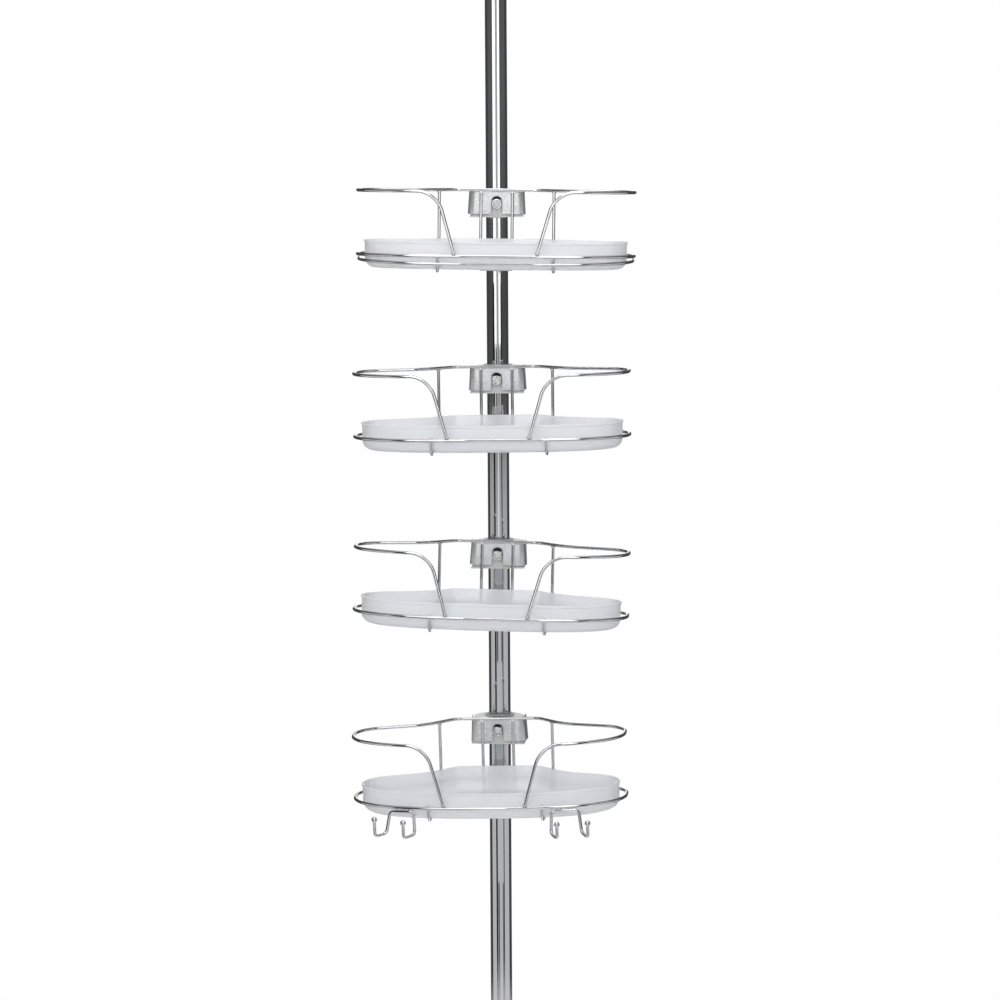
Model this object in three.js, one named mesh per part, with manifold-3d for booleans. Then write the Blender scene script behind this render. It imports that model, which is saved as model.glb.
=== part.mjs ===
// Corner tension-pole shower caddy: a telescoping chrome pole carries four wire shelves.
// Every shelf hangs by a stamped plate on a tapered clamp block and holds a loose plastic tray.
// Millimetres, +Z up. The origin is the centre of the foot pad's underside, on the pole axis.
// The shelves face -Y.
import * as THREE from "three";
import { mergeVertices } from "three/addons/utils/BufferGeometryUtils.js";
import Module from "manifold-3d";

const wasm = await Module();
wasm.setup();

// ---- driving dimensions ----
const GAP = 0.3; // clearance between pieces that touch or are welded

// pole
const POLE_R = 12.7;
const TUBE_WALL = 1.0;
const LOWER_FOOT = 12.3;
const LOWER_TOP = 1400;
const UPPER_R = 11.1;
const UPPER_FOOT = 950;
const UPPER_TOP = 1890;
const PAD_R = 30;
const PAD_H = 6;
const CUP_R = 28;
const CUP_H = 40;
const SOCKET_R = 16.5;
const PLUNGE = 30; // spring travel of the ceiling cup
const CEILING_CUP_H = 26;
const FLANGE_R = 9.6;
const FLANGE_H = 10;
const STEM_R = 7.5;
const CAP_H = 13;
const SPRING_H = 69;
const SPRING_R = 8;
const SPRING_WIRE_R = 0.9;
const SPRING_TURNS = 6;
const COLLAR_R = 18;
const COLLAR_H = 40;
const KNOB_R = 8;
const KNOB_H = 11;

// Shelves, from the top one down: rail height, then in degrees the turn about the pole and how
// the hanging frame sits on its block, leaning sideways and nodding forwards.
const SHELVES = [
  { rail: 1065, turn: -0.3, lean: 0.9, nod: 0 },
  { rail: 861.5, turn: -3.4, lean: -0.4, nod: 0 },
  { rail: 657, turn: -3.9, lean: 1.5, nod: -1.3 },
  { rail: 450, turn: -5.8, lean: -1.2, nod: 1 },
];

// shelf, measured from the pole axis and from its rail's height
const RAIL_R = 1.9;
const UPRIGHT_R = 1.7;
const RING_Z = -71.3;
const PLATE_FACE = -24.8; // y of the hanger plate's front face
const PLATE_T = 1.7;
const PLATE_TOP = 1;
const PLATE_FOOT = -27.9;
const SLOT_W = 12.5;
const SLOT_ARCH = -13.3; // z of the slot's arch centre
const SCREW_Z = -16;
const HEAD_R = 5.8;
const HEAD_H = 7;
const SHANK_R = 3;
const BLOCK_FACE = -22.3;
const BLOCK_FOOT = -29.4;
const LIP_H = 1.8;
const LIP_HALF = 31;
const LIP_FACE = -23.9; // set back, so that a nodding shelf's uprights clear it on their way up
const WINDOW_W = 12; // opening above the screw, into the slot that the nut drops down
const WINDOW_TOP = -6.6;
const FLARE = 0.055; // the wedge widens by this share from its top to its foot
const BUSH_R = 15;
const BUSH_BORE_R = 13.1;
const BUSH_FLANGE_R = 17;
const BUSH_TOP = 1.5;
const BUSH_SLIT = 2;
const NUT_W = 10;
const NUT_T = 3.2;
const TRAY_FOOT = -86.5;
const TRAY_TOP = -55.5;
const TRAY_WALL = 2.2;
const TRAY_EDGE = 11; // radius of the tray's bottom edge
const KNEE_REACH = 22;
const KNEE_X = 65.5;
const FOOT_X = 46.5;
const FRONT_Y = -196.5;
const INNER_X = 18;
const OUTER_X = 65.7;
const FLOOR_LOOP_Y = -100;
const HOOK_DROP = 27;
// Each hook, bent by hand: where it leaves the ring, how far its foot stands out from there, how
// far its tip goes on outwards and forwards, and how high the tip rises.
const HOOKS_RIGHT = [[75.5, -1, 8.5, 21.4, 16], [105.5, 3, 8.5, 21.4, 16]];
const HOOKS_LEFT = [[80.5, -0.5, 10.7, 17, 17.8], [107.7, 5.2, 11.8, 11, 19.3]];
const BALL_R = 3.3;
const HOOP_DROP = 4.1;
const HOOP_TILT = 0.047;

// Half outlines seen from above: x, y and how far from the corner its bend starts.
const FRONT_HALF = [[45, FRONT_Y, 22], [112, -184, 22], [155.5, -150, 24], [155.5, -88, 26]];
const RING_HALF = [...FRONT_HALF, [83.9, -61.4, 14], [50.8, -22.9, 8]];
const RAIL_HALF = [...FRONT_HALF.slice(1), [81, -64, 14], [49, -27, 8]];
const TRAY_HALF = [[42, -188, 20], [106, -176.5, 22], [147.5, -144, 24], [147.5, -94, 26],
  [78.5, -66, 14], [47.5, -30, 8]];

// ---- materials ----
const finish = (color, roughness, metalness) =>
  new THREE.MeshStandardMaterial({ color, roughness, metalness });
const CHROME = [0xd4d6d9, 0.08, 1];
const SATIN = [0xb9bcc0, 0.35, 1];
const ZINC = [0xc9cbc8, 0.2, 1];
const FROSTED = [0xdde2ea, 0.45, 0];
const GREY_PLASTIC = [0x9a9da1, 0.5, 0];
const WHITE_PLASTIC = [0xe6e7e8, 0.4, 0];
const RUBBER = [0x55575a, 0.8, 0];
const SPRING_STEEL = [0x8a8c8e, 0.3, 1];

// ---- shape helpers ----
function solid(geometry) {
  const bare = geometry.clone();
  bare.deleteAttribute("normal");
  bare.deleteAttribute("uv");
  const g = mergeVertices(bare, 1e-4);
  return new wasm.Manifold(new wasm.Mesh({
    numProp: 3,
    vertProperties: new Float32Array(g.attributes.position.array),
    triVerts: new Uint32Array(g.index.array),
  }));
}

function geometryOf(made) {
  const m = made.getMesh();
  return new THREE.BufferGeometry()
    .setAttribute("position", new THREE.BufferAttribute(new Float32Array(m.vertProperties), 3))
    .setIndex(new THREE.BufferAttribute(new Uint32Array(m.triVerts), 1));
}

const cut = (body, ...tools) =>
  geometryOf(tools.reduce((left, tool) => left.subtract(solid(tool)), solid(body)));
const join = (body, ...more) =>
  geometryOf(more.reduce((all, next) => all.add(solid(next)), solid(body)));

// A turned piece about the Z axis; the profile is a list of [radius, z].
const turned = (profile, sides) =>
  new THREE.LatheGeometry(profile.map(([r, z]) => new THREE.Vector2(r, z)), sides)
    .rotateX(Math.PI / 2);
// A ring or tube with a square-cut section.
const sleeve = (inner, outer, foot, top, sides) =>
  turned([[inner, foot], [outer, foot], [outer, top], [inner, top], [inner, foot]], sides);
// A solid round bar.
const rod = (r, foot, top, sides) => turned([[0, foot], [r, foot], [r, top], [0, top]], sides);
// The same bar lying along Y, from the front face to the back.
const rodY = (r, front, back, z, sides) =>
  rod(r, -back, -front, sides).rotateX(Math.PI / 2).translate(0, 0, z);
const block = (x0, x1, y0, y1, z0, z1) =>
  new THREE.BoxGeometry(x1 - x0, y1 - y0, z1 - z0)
    .translate((x0 + x1) / 2, (y0 + y1) / 2, (z0 + z1) / 2);
// A flat outline drawn on XY, raised from foot to top.
const raised = (points, foot, top) =>
  new THREE.ExtrudeGeometry(new THREE.Shape(points), { depth: top - foot, bevelEnabled: false })
    .translate(0, 0, foot);

// A polyline whose corners are rounded; every corner is [Vector3, reach of its bend].
function bend(corners, steps = 2) {
  const out = [];
  corners.forEach(([p, reach], i) => {
    if (!reach) return out.push(p);
    const from = p.clone().lerp(corners[i - 1][0], reach / p.distanceTo(corners[i - 1][0]));
    const to = p.clone().lerp(corners[i + 1][0], reach / p.distanceTo(corners[i + 1][0]));
    out.push(...new THREE.QuadraticBezierCurve3(from, p, to).getPoints(steps));
  });
  return out;
}

const corner = (x, y, z, reach = 0) => [new THREE.Vector3(x, y, z), reach];
const mirrored = (corners) =>
  corners.map(([p, reach]) => [new THREE.Vector3(-p.x, p.y, p.z), reach]).reverse();

// A whole loop at one height from its half outline; it starts and ends in the middle of the front.
function loop(half, z) {
  const right = half.map(([x, y, reach]) => corner(x, y, z, reach));
  const middle = corner(0, half[0][1], z);
  return bend([middle, ...right, ...mirrored(right), middle]);
}

// A curve through given points, one step per point, so that straight runs take no extra faces.
class WirePath extends THREE.Curve {
  constructor(points) {
    super();
    this.points = points;
  }
  getPoint(t) {
    const at = t * (this.points.length - 1);
    const i = Math.min(Math.floor(at), this.points.length - 2);
    return this.points[i].clone().lerp(this.points[i + 1], at - i);
  }
  getUtoTmapping(u) {
    return u;
  }
}

// A round wire along points. A closed wire keeps its side walls only, because its ends meet.
function wire(points, radius, { sides = 6, closed = false } = {}) {
  const section = new THREE.Shape(
    Array.from({ length: sides }, (_, i) => new THREE.Vector2(
      radius * Math.cos((2 * Math.PI * i) / sides), radius * Math.sin((2 * Math.PI * i) / sides))));
  const swept = new THREE.ExtrudeGeometry(section, {
    steps: points.length - 1, extrudePath: new WirePath(points), bevelEnabled: false });
  if (!closed) return swept;
  const walls = swept.groups[1];
  const kept = swept.attributes.position.array
    .slice(walls.start * 3, (walls.start + walls.count) * 3);
  return new THREE.BufferGeometry()
    .setAttribute("position", new THREE.BufferAttribute(kept, 3));
}

// Widens a piece towards its foot, so that the plate wedges on the block.
function flared(geometry) {
  const p = geometry.attributes.position;
  for (let i = 0; i < p.count; i++)
    p.setX(i, p.getX(i) * (1 + (FLARE * (PLATE_TOP - p.getZ(i))) / (PLATE_TOP - BLOCK_FOOT)));
  return geometry;
}

function piece(parent, name, geometry, look) {
  const mesh = new THREE.Mesh(geometry, finish(...look));
  mesh.name = name;
  parent.add(mesh);
}

const caddy = new THREE.Group();
caddy.name = "shower_caddy";

// ---- pole ----
const pole = new THREE.Group();
pole.name = "pole";
caddy.add(pole);

const lowerBore = POLE_R - TUBE_WALL;
const upperBore = UPPER_R - TUBE_WALL;
piece(pole, "lower_tube", sleeve(lowerBore, POLE_R, LOWER_FOOT, LOWER_TOP, 24), CHROME);
piece(pole, "upper_tube", sleeve(upperBore, UPPER_R, UPPER_FOOT, UPPER_TOP, 24), CHROME);
piece(pole, "foot_pad", turned([[0, 0], [PAD_R, 0], [PAD_R, PAD_H], [0, PAD_H]], 24), RUBBER);

// The cup widens to the pad; the tube stands in its socket.
const socketBore = POLE_R + GAP;
const cupProfile = (foot, height, up) => [
  [0, foot], [CUP_R, foot], [CUP_R, foot + up * height * 0.2], [SOCKET_R, foot + up * height * 0.55],
  [SOCKET_R, foot + up * height]];
piece(pole, "foot_cup", turned([...cupProfile(PAD_H + GAP, CUP_H, 1),
  [socketBore, PAD_H + GAP + CUP_H], [socketBore, LOWER_FOOT - GAP], [0, LOWER_FOOT - GAP]], 24),
WHITE_PLASTIC);

// Lock collar on the mouth of the lower tube; its thumb screw bears on the upper tube.
const collarTop = LOWER_TOP + 16;
const collarFoot = collarTop - COLLAR_H;
const lockZ = LOWER_TOP + 8;
const collar = turned([[POLE_R + GAP, collarFoot], [COLLAR_R, collarFoot], [COLLAR_R, collarTop],
  [UPPER_R + GAP, collarTop], [UPPER_R + GAP, LOWER_TOP + GAP], [POLE_R + GAP, LOWER_TOP + GAP],
  [POLE_R + GAP, collarFoot]], 24);
piece(pole, "lock_collar",
  cut(collar, rodY(SHANK_R + GAP, -COLLAR_R - 2, -UPPER_R, lockZ, 12)), WHITE_PLASTIC);
const knobBack = -COLLAR_R - GAP;
piece(pole, "lock_screw", join(rodY(SHANK_R, knobBack - 1, -UPPER_R - 2 * GAP, lockZ, 12),
  rodY(KNOB_R, knobBack - KNOB_H, knobBack, lockZ, 10)), WHITE_PLASTIC);

// Spring end: seat, spring, flanged stem held by the cap, ceiling cup and pad.
const capFoot = UPPER_TOP - CAP_H + 3;
const flangeTop = capFoot - GAP;
const springTop = flangeTop - FLANGE_H - GAP;
const springFoot = springTop - SPRING_H;
const cupFoot = UPPER_TOP + 3 + PLUNGE + 1;
const cupTop = cupFoot + CEILING_CUP_H;
piece(pole, "spring_seat", rod(upperBore - GAP, springFoot - GAP - 12, springFoot - GAP, 16),
  GREY_PLASTIC);
const coil = Array.from({ length: SPRING_TURNS * 9 + 1 }, (_, i) => {
  const a = (2 * Math.PI * i) / 9;
  const rise = (SPRING_H - 2 * SPRING_WIRE_R) * (i / (SPRING_TURNS * 9));
  return new THREE.Vector3(SPRING_R * Math.cos(a), SPRING_R * Math.sin(a),
    springFoot + SPRING_WIRE_R + rise);
});
piece(pole, "spring", wire(coil, SPRING_WIRE_R - 0.1, { sides: 5 }), SPRING_STEEL);
piece(pole, "tube_cap", turned([[STEM_R + 2 * GAP, capFoot], [upperBore - GAP, capFoot],
  [upperBore - GAP, UPPER_TOP + GAP], [UPPER_R, UPPER_TOP + GAP], [UPPER_R, UPPER_TOP + 3],
  [STEM_R + 2 * GAP, UPPER_TOP + 3], [STEM_R + 2 * GAP, capFoot]], 20), WHITE_PLASTIC);
const stemTop = cupFoot + CEILING_CUP_H * 0.6;
piece(pole, "ceiling_stem", turned([[0, flangeTop - FLANGE_H], [FLANGE_R, flangeTop - FLANGE_H],
  [FLANGE_R, flangeTop], [STEM_R, flangeTop], [STEM_R, stemTop], [0, stemTop]], 16), SATIN);
piece(pole, "ceiling_cup", turned([[0, stemTop + GAP], [STEM_R + GAP, stemTop + GAP],
  [STEM_R + GAP, cupFoot], [SOCKET_R * 0.7, cupFoot], [SOCKET_R, cupFoot + CEILING_CUP_H * 0.5],
  [CUP_R, cupFoot + CEILING_CUP_H * 0.8], [CUP_R, cupTop], [0, cupTop]], 24), WHITE_PLASTIC);
piece(pole, "ceiling_pad", turned([[0, cupTop + GAP], [PAD_R, cupTop + GAP],
  [PAD_R, cupTop + GAP + PAD_H], [0, cupTop + GAP + PAD_H]], 24), RUBBER);

// ---- shelves ----
const across = (half) =>
  [...half, ...half.map(([x, y]) => [-x, y]).reverse()].map(([x, y]) => new THREE.Vector2(x, y));

// Plan of the plate: the front face, two slanted corners and two wings that reach back.
const PLATE_OUT = [[25, PLATE_FACE], [30.4, -20], [32, -4]];
const PLATE_IN = [[30.3, -4], [28.8, -19.2], [24.3, PLATE_FACE + PLATE_T]];
const BLOCK_HALF = [[23.6, BLOCK_FACE], [27.9, -18.4], [29.4, -3], [23, 10], [11, 19.5]];

function hangerPlate() {
  const channel = raised(across([...PLATE_OUT, ...PLATE_IN]), PLATE_FOOT, PLATE_TOP);
  const through = [PLATE_FACE - 2, PLATE_FACE + PLATE_T + 2];
  return cut(flared(channel),
    block(-SLOT_W / 2, SLOT_W / 2, ...through, PLATE_FOOT - 1, SLOT_ARCH),
    rodY(SLOT_W / 2, ...through, SLOT_ARCH, 16));
}

function clampBlock() {
  const wedge = flared(raised(across(BLOCK_HALF), BLOCK_FOOT - 1, 0));
  const lip = block(-LIP_HALF, LIP_HALF, LIP_FACE, -3, BLOCK_FOOT - LIP_H, BLOCK_FOOT);
  const pocketFront = -18.7 - NUT_T / 2 - GAP;
  return cut(join(wedge, lip),
    rod(BUSH_R + GAP, BLOCK_FOOT - LIP_H - 1, 1, 20),
    rodY(SHANK_R + GAP, BLOCK_FACE - 3, -BUSH_R + 1, SCREW_Z, 12),
    block(-WINDOW_W / 2, WINDOW_W / 2, BLOCK_FACE - 3, pocketFront + 1, SCREW_Z + 4.8, WINDOW_TOP),
    block(-NUT_W / 2 - GAP, NUT_W / 2 + GAP, pocketFront, pocketFront + NUT_T + 2 * GAP,
      SCREW_Z - NUT_W / 2 - GAP, 1));
}

function gripBush() {
  const foot = BLOCK_FOOT - LIP_H;
  const body = turned([[BUSH_BORE_R, foot], [BUSH_R, foot], [BUSH_R, GAP], [BUSH_FLANGE_R, GAP],
    [BUSH_FLANGE_R, BUSH_TOP], [BUSH_BORE_R, BUSH_TOP], [BUSH_BORE_R, foot]], 24);
  return cut(body, block(-BUSH_SLIT / 2, BUSH_SLIT / 2, 5, BUSH_FLANGE_R + 5, foot - 1, 5));
}

function clampScrew() {
  const back = BLOCK_FACE - GAP;
  const socket = new THREE.CylinderGeometry(3, 3, 4, 6).translate(0, back - HEAD_H, SCREW_Z);
  return cut(join(rodY(SHANK_R, back - 1, -BUSH_R - 2 * GAP, SCREW_Z, 12),
    rodY(HEAD_R, back - HEAD_H, back, SCREW_Z, 16)), socket);
}

function clampNut() {
  const half = NUT_W / 2;
  return cut(block(-half, half, -18.7 - NUT_T / 2, -18.7 + NUT_T / 2, SCREW_Z - half, SCREW_Z + half),
    rodY(SHANK_R + GAP, -25, -10, SCREW_Z, 12));
}

// The rail runs from one foot on the ring up, round both ends and down to the other foot.
function topRail() {
  const footZ = RING_Z + 2 * RAIL_R + GAP;
  const right = [corner(FOOT_X, FRONT_Y, footZ), corner(KNEE_X, -192.5, 0, KNEE_REACH),
    ...RAIL_HALF.map(([x, y, reach]) => corner(x, y, 0, reach))];
  return wire(bend([...right, ...mirrored(right)]), RAIL_R);
}

const trayRing = () => wire(loop(RING_HALF, RING_Z), RAIL_R, { closed: true });

// Outer upright, floor run and front stub in one wire.
function floorWire(side) {
  const floorZ = TRAY_FOOT - GAP - UPRIGHT_R;
  return wire(bend([corner(side * OUTER_X, -46.3, -RAIL_R - GAP),
    corner(side * OUTER_X, -46.3, floorZ, 8), corner(side * (OUTER_X - 1.5), -182, floorZ, 8),
    corner(side * (OUTER_X - 1.7), -188.6, RING_Z + RAIL_R)]), UPRIGHT_R);
}

// Two inner uprights welded to the plate, joined under the tray.
function innerWire() {
  const floorZ = TRAY_FOOT - GAP - UPRIGHT_R;
  const y = PLATE_FACE - GAP - UPRIGHT_R;
  const right = [corner(INNER_X, y, -RAIL_R - GAP), corner(INNER_X, y, floorZ, 8),
    corner(INNER_X, FLOOR_LOOP_Y, floorZ, 8)];
  return wire(bend([...right, ...mirrored(right)]), UPRIGHT_R);
}

// A shell with a rounded bottom edge: two bevelled slabs, one inside the other, cut at the rim.
function tray() {
  const slab = (inset, foot) => {
    const edge = TRAY_EDGE - inset;
    const points = loop(TRAY_HALF, 0).slice(0, -1).map((p) => new THREE.Vector2(p.x, p.y));
    return new THREE.ExtrudeGeometry(new THREE.Shape(points), { depth: 60, bevelThickness: edge,
      bevelSize: edge, bevelOffset: -edge - inset, bevelSegments: 2 }).translate(0, 0, foot + edge);
  };
  return cut(slab(0, TRAY_FOOT), slab(TRAY_WALL, TRAY_FOOT + TRAY_WALL),
    block(-200, 200, -220, 0, TRAY_TOP, 40));
}

// Two J hooks on one wire that is welded under the front of the ring.
function hookWire(side) {
  const z = RING_Z - 2 * RAIL_R - GAP;
  const frontAt = (x) => FRONT_Y + (x - 45) * (12.5 / 67);
  const hook = ([x, away, out, forward, lip]) => {
    const foot = side * (x + away);
    const tipX = foot + side * out;
    const tipY = frontAt(x) - forward;
    const tip = new THREE.Vector3(tipX, tipY, z - HOOK_DROP + lip);
    return { tip, corners: [[tip, 0], corner(tipX, tipY, z - HOOK_DROP, 5),
      corner(foot, frontAt(x), z - HOOK_DROP + 1, 5), corner(side * x, frontAt(x), z, 5)] };
  };
  const [near, far] = (side < 0 ? HOOKS_LEFT : HOOKS_RIGHT).map(hook);
  const ball = (tip) => new THREE.SphereGeometry(BALL_R, 8, 6).translate(...tip.toArray());
  return join(wire(bend([...near.corners, ...far.corners.reverse()]), RAIL_R - 0.1),
    ball(near.tip), ball(far.tip));
}

// Second wire under the front of the ring, from one end of the shelf round to the other.
function frontHoop() {
  const right = FRONT_HALF.slice(0, 3).map(([x, y, reach]) => corner(x - 1.5, y + 1.5, 0, reach));
  const end = corner(FRONT_HALF[3][0] - 1.5, -100, 0);
  return wire(bend([...mirrored([...right, end]), ...right, end]), RAIL_R)
    .translate(0, 100, 0).rotateX(HOOP_TILT).translate(0, -100, RING_Z - HOOP_DROP);
}

SHELVES.forEach(({ rail, turn, lean, nod }, i) => {
  const name = (what) => `shelf${i + 1}_${what}`;
  const shelf = new THREE.Group();
  shelf.name = name("assembly");
  shelf.position.z = rail;
  shelf.rotation.z = THREE.MathUtils.degToRad(turn);
  caddy.add(shelf);
  piece(shelf, name("clamp_block"), clampBlock(), GREY_PLASTIC);
  piece(shelf, name("grip_bush"), gripBush(), RUBBER);
  piece(shelf, name("clamp_screw"), clampScrew(), ZINC);
  piece(shelf, name("clamp_nut"), clampNut(), ZINC);

  // What hangs on the block sits a little crooked about the screw.
  const hanging = new THREE.Group();
  hanging.name = name("hanging");
  hanging.position.z = SCREW_Z;
  hanging.rotation.set(THREE.MathUtils.degToRad(nod), THREE.MathUtils.degToRad(lean), 0, "YXZ");
  shelf.add(hanging);
  const hang = (what, geometry, look) =>
    piece(hanging, name(what), geometry.translate(0, 0, -SCREW_Z), look);
  hang("hanger_plate", hangerPlate(), SATIN);
  hang("top_rail", topRail(), CHROME);
  hang("tray_ring", trayRing(), CHROME);
  hang("floor_wire_left", floorWire(-1), CHROME);
  hang("floor_wire_right", floorWire(1), CHROME);
  hang("inner_wire", innerWire(), CHROME);
  hang("tray", tray(), FROSTED);
  if (i === 0) hang("front_hoop", frontHoop(), CHROME);
  if (i === SHELVES.length - 1) {
    hang("hook_wire_left", hookWire(-1), CHROME);
    hang("hook_wire_right", hookWire(1), CHROME);
  }
});

export default caddy;
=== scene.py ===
# %% [markdown]
# # A tension-pole shower caddy
# A telescoping chrome pole is wedged between a tub rim and the ceiling. Four bent-wire shelves
# hang on it, each on its own clamp, and each holds a loose frosted tray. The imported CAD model
# gives every size and place, so it is loaded first and never moved. Each piece below is a finer
# version of one CAD node: it stands at the same place, rides on the same moving body and hides
# the node that it replaces.

import math

import bmesh
import bpy
from mathutils import Euler, Matrix, Vector


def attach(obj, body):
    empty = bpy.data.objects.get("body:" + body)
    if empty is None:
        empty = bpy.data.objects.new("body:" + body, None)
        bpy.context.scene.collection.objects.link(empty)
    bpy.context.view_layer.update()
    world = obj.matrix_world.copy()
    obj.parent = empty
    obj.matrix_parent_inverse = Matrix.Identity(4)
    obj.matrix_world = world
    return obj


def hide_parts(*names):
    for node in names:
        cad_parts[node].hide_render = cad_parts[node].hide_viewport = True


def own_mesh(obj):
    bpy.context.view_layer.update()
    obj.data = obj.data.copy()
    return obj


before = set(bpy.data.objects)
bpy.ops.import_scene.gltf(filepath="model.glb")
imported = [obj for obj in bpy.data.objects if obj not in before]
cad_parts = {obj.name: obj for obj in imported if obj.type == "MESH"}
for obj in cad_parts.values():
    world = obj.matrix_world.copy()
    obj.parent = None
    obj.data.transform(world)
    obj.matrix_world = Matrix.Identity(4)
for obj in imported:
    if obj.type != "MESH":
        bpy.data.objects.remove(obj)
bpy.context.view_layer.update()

# %% [markdown]
# ## Helpers for modelling by hand
# An operator acts on whatever is selected, so every step starts from an empty selection and then
# picks its vertices, edges or faces by their place or normal. Sizes are written in millimetres,
# as a maker would, and turned into metres in one place.

# %% Selecting and editing
MM = 0.001


def mm(x, y, z):
    return Vector((x, y, z)) * MM


def clear():
    """Object mode, nothing selected."""
    if bpy.context.object and bpy.context.object.mode != "OBJECT":
        bpy.ops.object.mode_set(mode="OBJECT")
    bpy.ops.object.select_all(action="DESELECT")


def take(piece):
    """Select one object and make it the active one."""
    clear()
    piece.select_set(True)
    bpy.context.view_layer.objects.active = piece


def edit(piece):
    take(piece)
    bpy.ops.object.mode_set(mode="EDIT")


def pick_all():
    bpy.ops.mesh.select_all(action="SELECT")


def face_outwards():
    """In edit mode, turn every normal outwards."""
    pick_all()
    bpy.ops.mesh.normals_make_consistent(inside=False)


def extrude(move):
    """In edit mode, extrude the selection by a vector in metres."""
    bpy.ops.mesh.extrude_region_move(TRANSFORM_OT_translate={"value": move})


def pick(test, kind="VERT"):
    """In edit mode, select the vertices, edges or faces that pass the test."""
    bpy.ops.mesh.select_mode(type=kind)
    bpy.ops.mesh.select_all(action="DESELECT")
    mesh = bmesh.from_edit_mesh(bpy.context.object.data)
    parts = {"VERT": mesh.verts, "EDGE": mesh.edges, "FACE": mesh.faces}[kind]
    for part in parts:
        if test(part):
            part.select_set(True)
    mesh.select_flush_mode()
    bmesh.update_edit_mesh(bpy.context.object.data)


def smooth(piece, angle):
    """Shade smooth, except over edges sharper than an angle in degrees."""
    take(piece)
    bpy.ops.object.shade_smooth_by_angle(angle=math.radians(angle))


def finish_mesh(name, angle=35):
    """Leave edit mode, name the piece and shade it smooth."""
    clear()
    piece = bpy.context.view_layer.objects.active
    piece.name = piece.data.name = name
    smooth(piece, angle)
    return piece


# %% [markdown]
# A bent wire and a turned profile both start as a chain of vertices: one vertex, extruded from
# corner to corner, with each corner rounded by a vertex bevel. A curve drawn point by point would
# do as well, but the bevel keeps the straight runs exactly straight, as a bending jig does.

# %% A chain of vertices with rounded corners
BEND_STEPS = 10


def lay_chain(corners, closed=False, steps=BEND_STEPS):
    """corners: [(place in metres, how far before the corner its bend starts in mm), ...]"""
    clear()
    bpy.ops.mesh.primitive_plane_add(size=MM)
    bpy.ops.object.mode_set(mode="EDIT")
    bpy.ops.mesh.select_mode(type="VERT")
    pick_all()
    bpy.ops.mesh.merge(type="CENTER")
    bpy.ops.transform.translate(value=corners[0][0])
    for (here, _), (there, _) in zip(corners, corners[1:]):
        extrude(there - here)
    if closed:
        ends = (corners[0][0], corners[-1][0])
        pick(lambda v: any((v.co - end).length < 1e-6 for end in ends))
        bpy.ops.mesh.edge_face_add()
    for place, reach in corners:
        if reach:
            pick(lambda v: (v.co - place).length < 1e-6)
            bpy.ops.mesh.bevel(
                offset=reach * MM, offset_type="OFFSET", segments=steps, affect="VERTICES")
    return bpy.context.object


def lay_face(corners, steps=BEND_STEPS):
    """A closed chain filled with one face, selected and in edit mode."""
    lay_chain(corners, closed=True, steps=steps)
    pick_all()
    bpy.ops.mesh.edge_face_add()


# %% [markdown]
# A round wire is that chain turned into a curve, given a round section, and turned back into a
# mesh. A turned piece is the chain spun about the pole's axis.

# %% Wires and turned pieces
WIRE_SECTION = 3  # bevel resolution of the round section


def bend_wire(name, corners, radius, closed=False, steps=BEND_STEPS):
    piece = lay_chain(corners, closed, steps)
    take(piece)
    bpy.ops.object.convert(target="CURVE")
    piece = bpy.context.object
    piece.data.bevel_depth = radius * MM
    piece.data.bevel_resolution = WIRE_SECTION
    piece.data.use_fill_caps = not closed
    bpy.ops.object.convert(target="MESH")
    return finish_mesh(name, 50)


def turn(name, profile, steps=72, ring=False, angle=30):
    """profile: [(radius, height, bevel), ...] in mm; a ring's profile closes on itself."""
    corners = [(mm(r, 0, z), bevel) for r, z, bevel in profile]
    lay_chain(corners, closed=ring, steps=4)
    pick_all()
    bpy.ops.mesh.spin(steps=steps, angle=2 * math.pi, center=(0, 0, 0), axis=(0, 0, 1))
    pick_all()
    bpy.ops.mesh.remove_doubles(threshold=1e-6)
    face_outwards()
    return finish_mesh(name, angle)


# %% [markdown]
# Holes and joined lumps are cut with Boolean modifiers, and edges are softened with a Bevel
# modifier. Both are applied at once, so that the piece is a plain mesh again.

# %% Modifiers that finish a piece
def apply_modifier(piece, kind, **settings):
    take(piece)
    modifier = piece.modifiers.new(kind.lower(), kind)
    for key, value in settings.items():
        setattr(modifier, key, value)
    bpy.ops.object.modifier_apply(modifier=modifier.name)


def carve(piece, *tools, operation="DIFFERENCE"):
    for tool in tools:
        apply_modifier(piece, "BOOLEAN", object=tool, operation=operation, solver="EXACT")
        bpy.data.objects.remove(tool)


def soften(piece, width, segments=3, angle=40):
    """Round every edge sharper than the angle."""
    apply_modifier(
        piece, "BEVEL", width=width * MM, segments=segments,
        limit_method="ANGLE", angle_limit=math.radians(angle), harden_normals=False)
    smooth(piece, angle)


def weld_together(name, *pieces):
    """Join several meshes into the first one."""
    clear()
    for piece in pieces:
        piece.select_set(True)
    bpy.context.view_layer.objects.active = pieces[0]
    bpy.ops.object.join()
    pieces[0].name = pieces[0].data.name = name
    return pieces[0]


def duplicate(piece):
    """A copy with its own mesh."""
    copy = piece.copy()
    copy.data = piece.data.copy()
    bpy.context.scene.collection.objects.link(copy)
    return copy


def copies_round(piece, count, offset=0):
    """Replace a piece by copies spaced evenly about the pole's axis."""
    copies = []
    for i in range(count):
        copy = duplicate(piece)
        copy.data.transform(Matrix.Rotation(2 * math.pi * (i + offset) / count, 4, "Z"))
        copies.append(copy)
    bpy.data.objects.remove(piece)
    return copies


def lay_down(piece, y, z):
    """Turn a piece made upright so that its top points back and its foot is at y and z."""
    piece.data.transform(Matrix.Translation(mm(0, y, z)) @ Matrix.Rotation(-math.pi / 2, 4, "X"))


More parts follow.
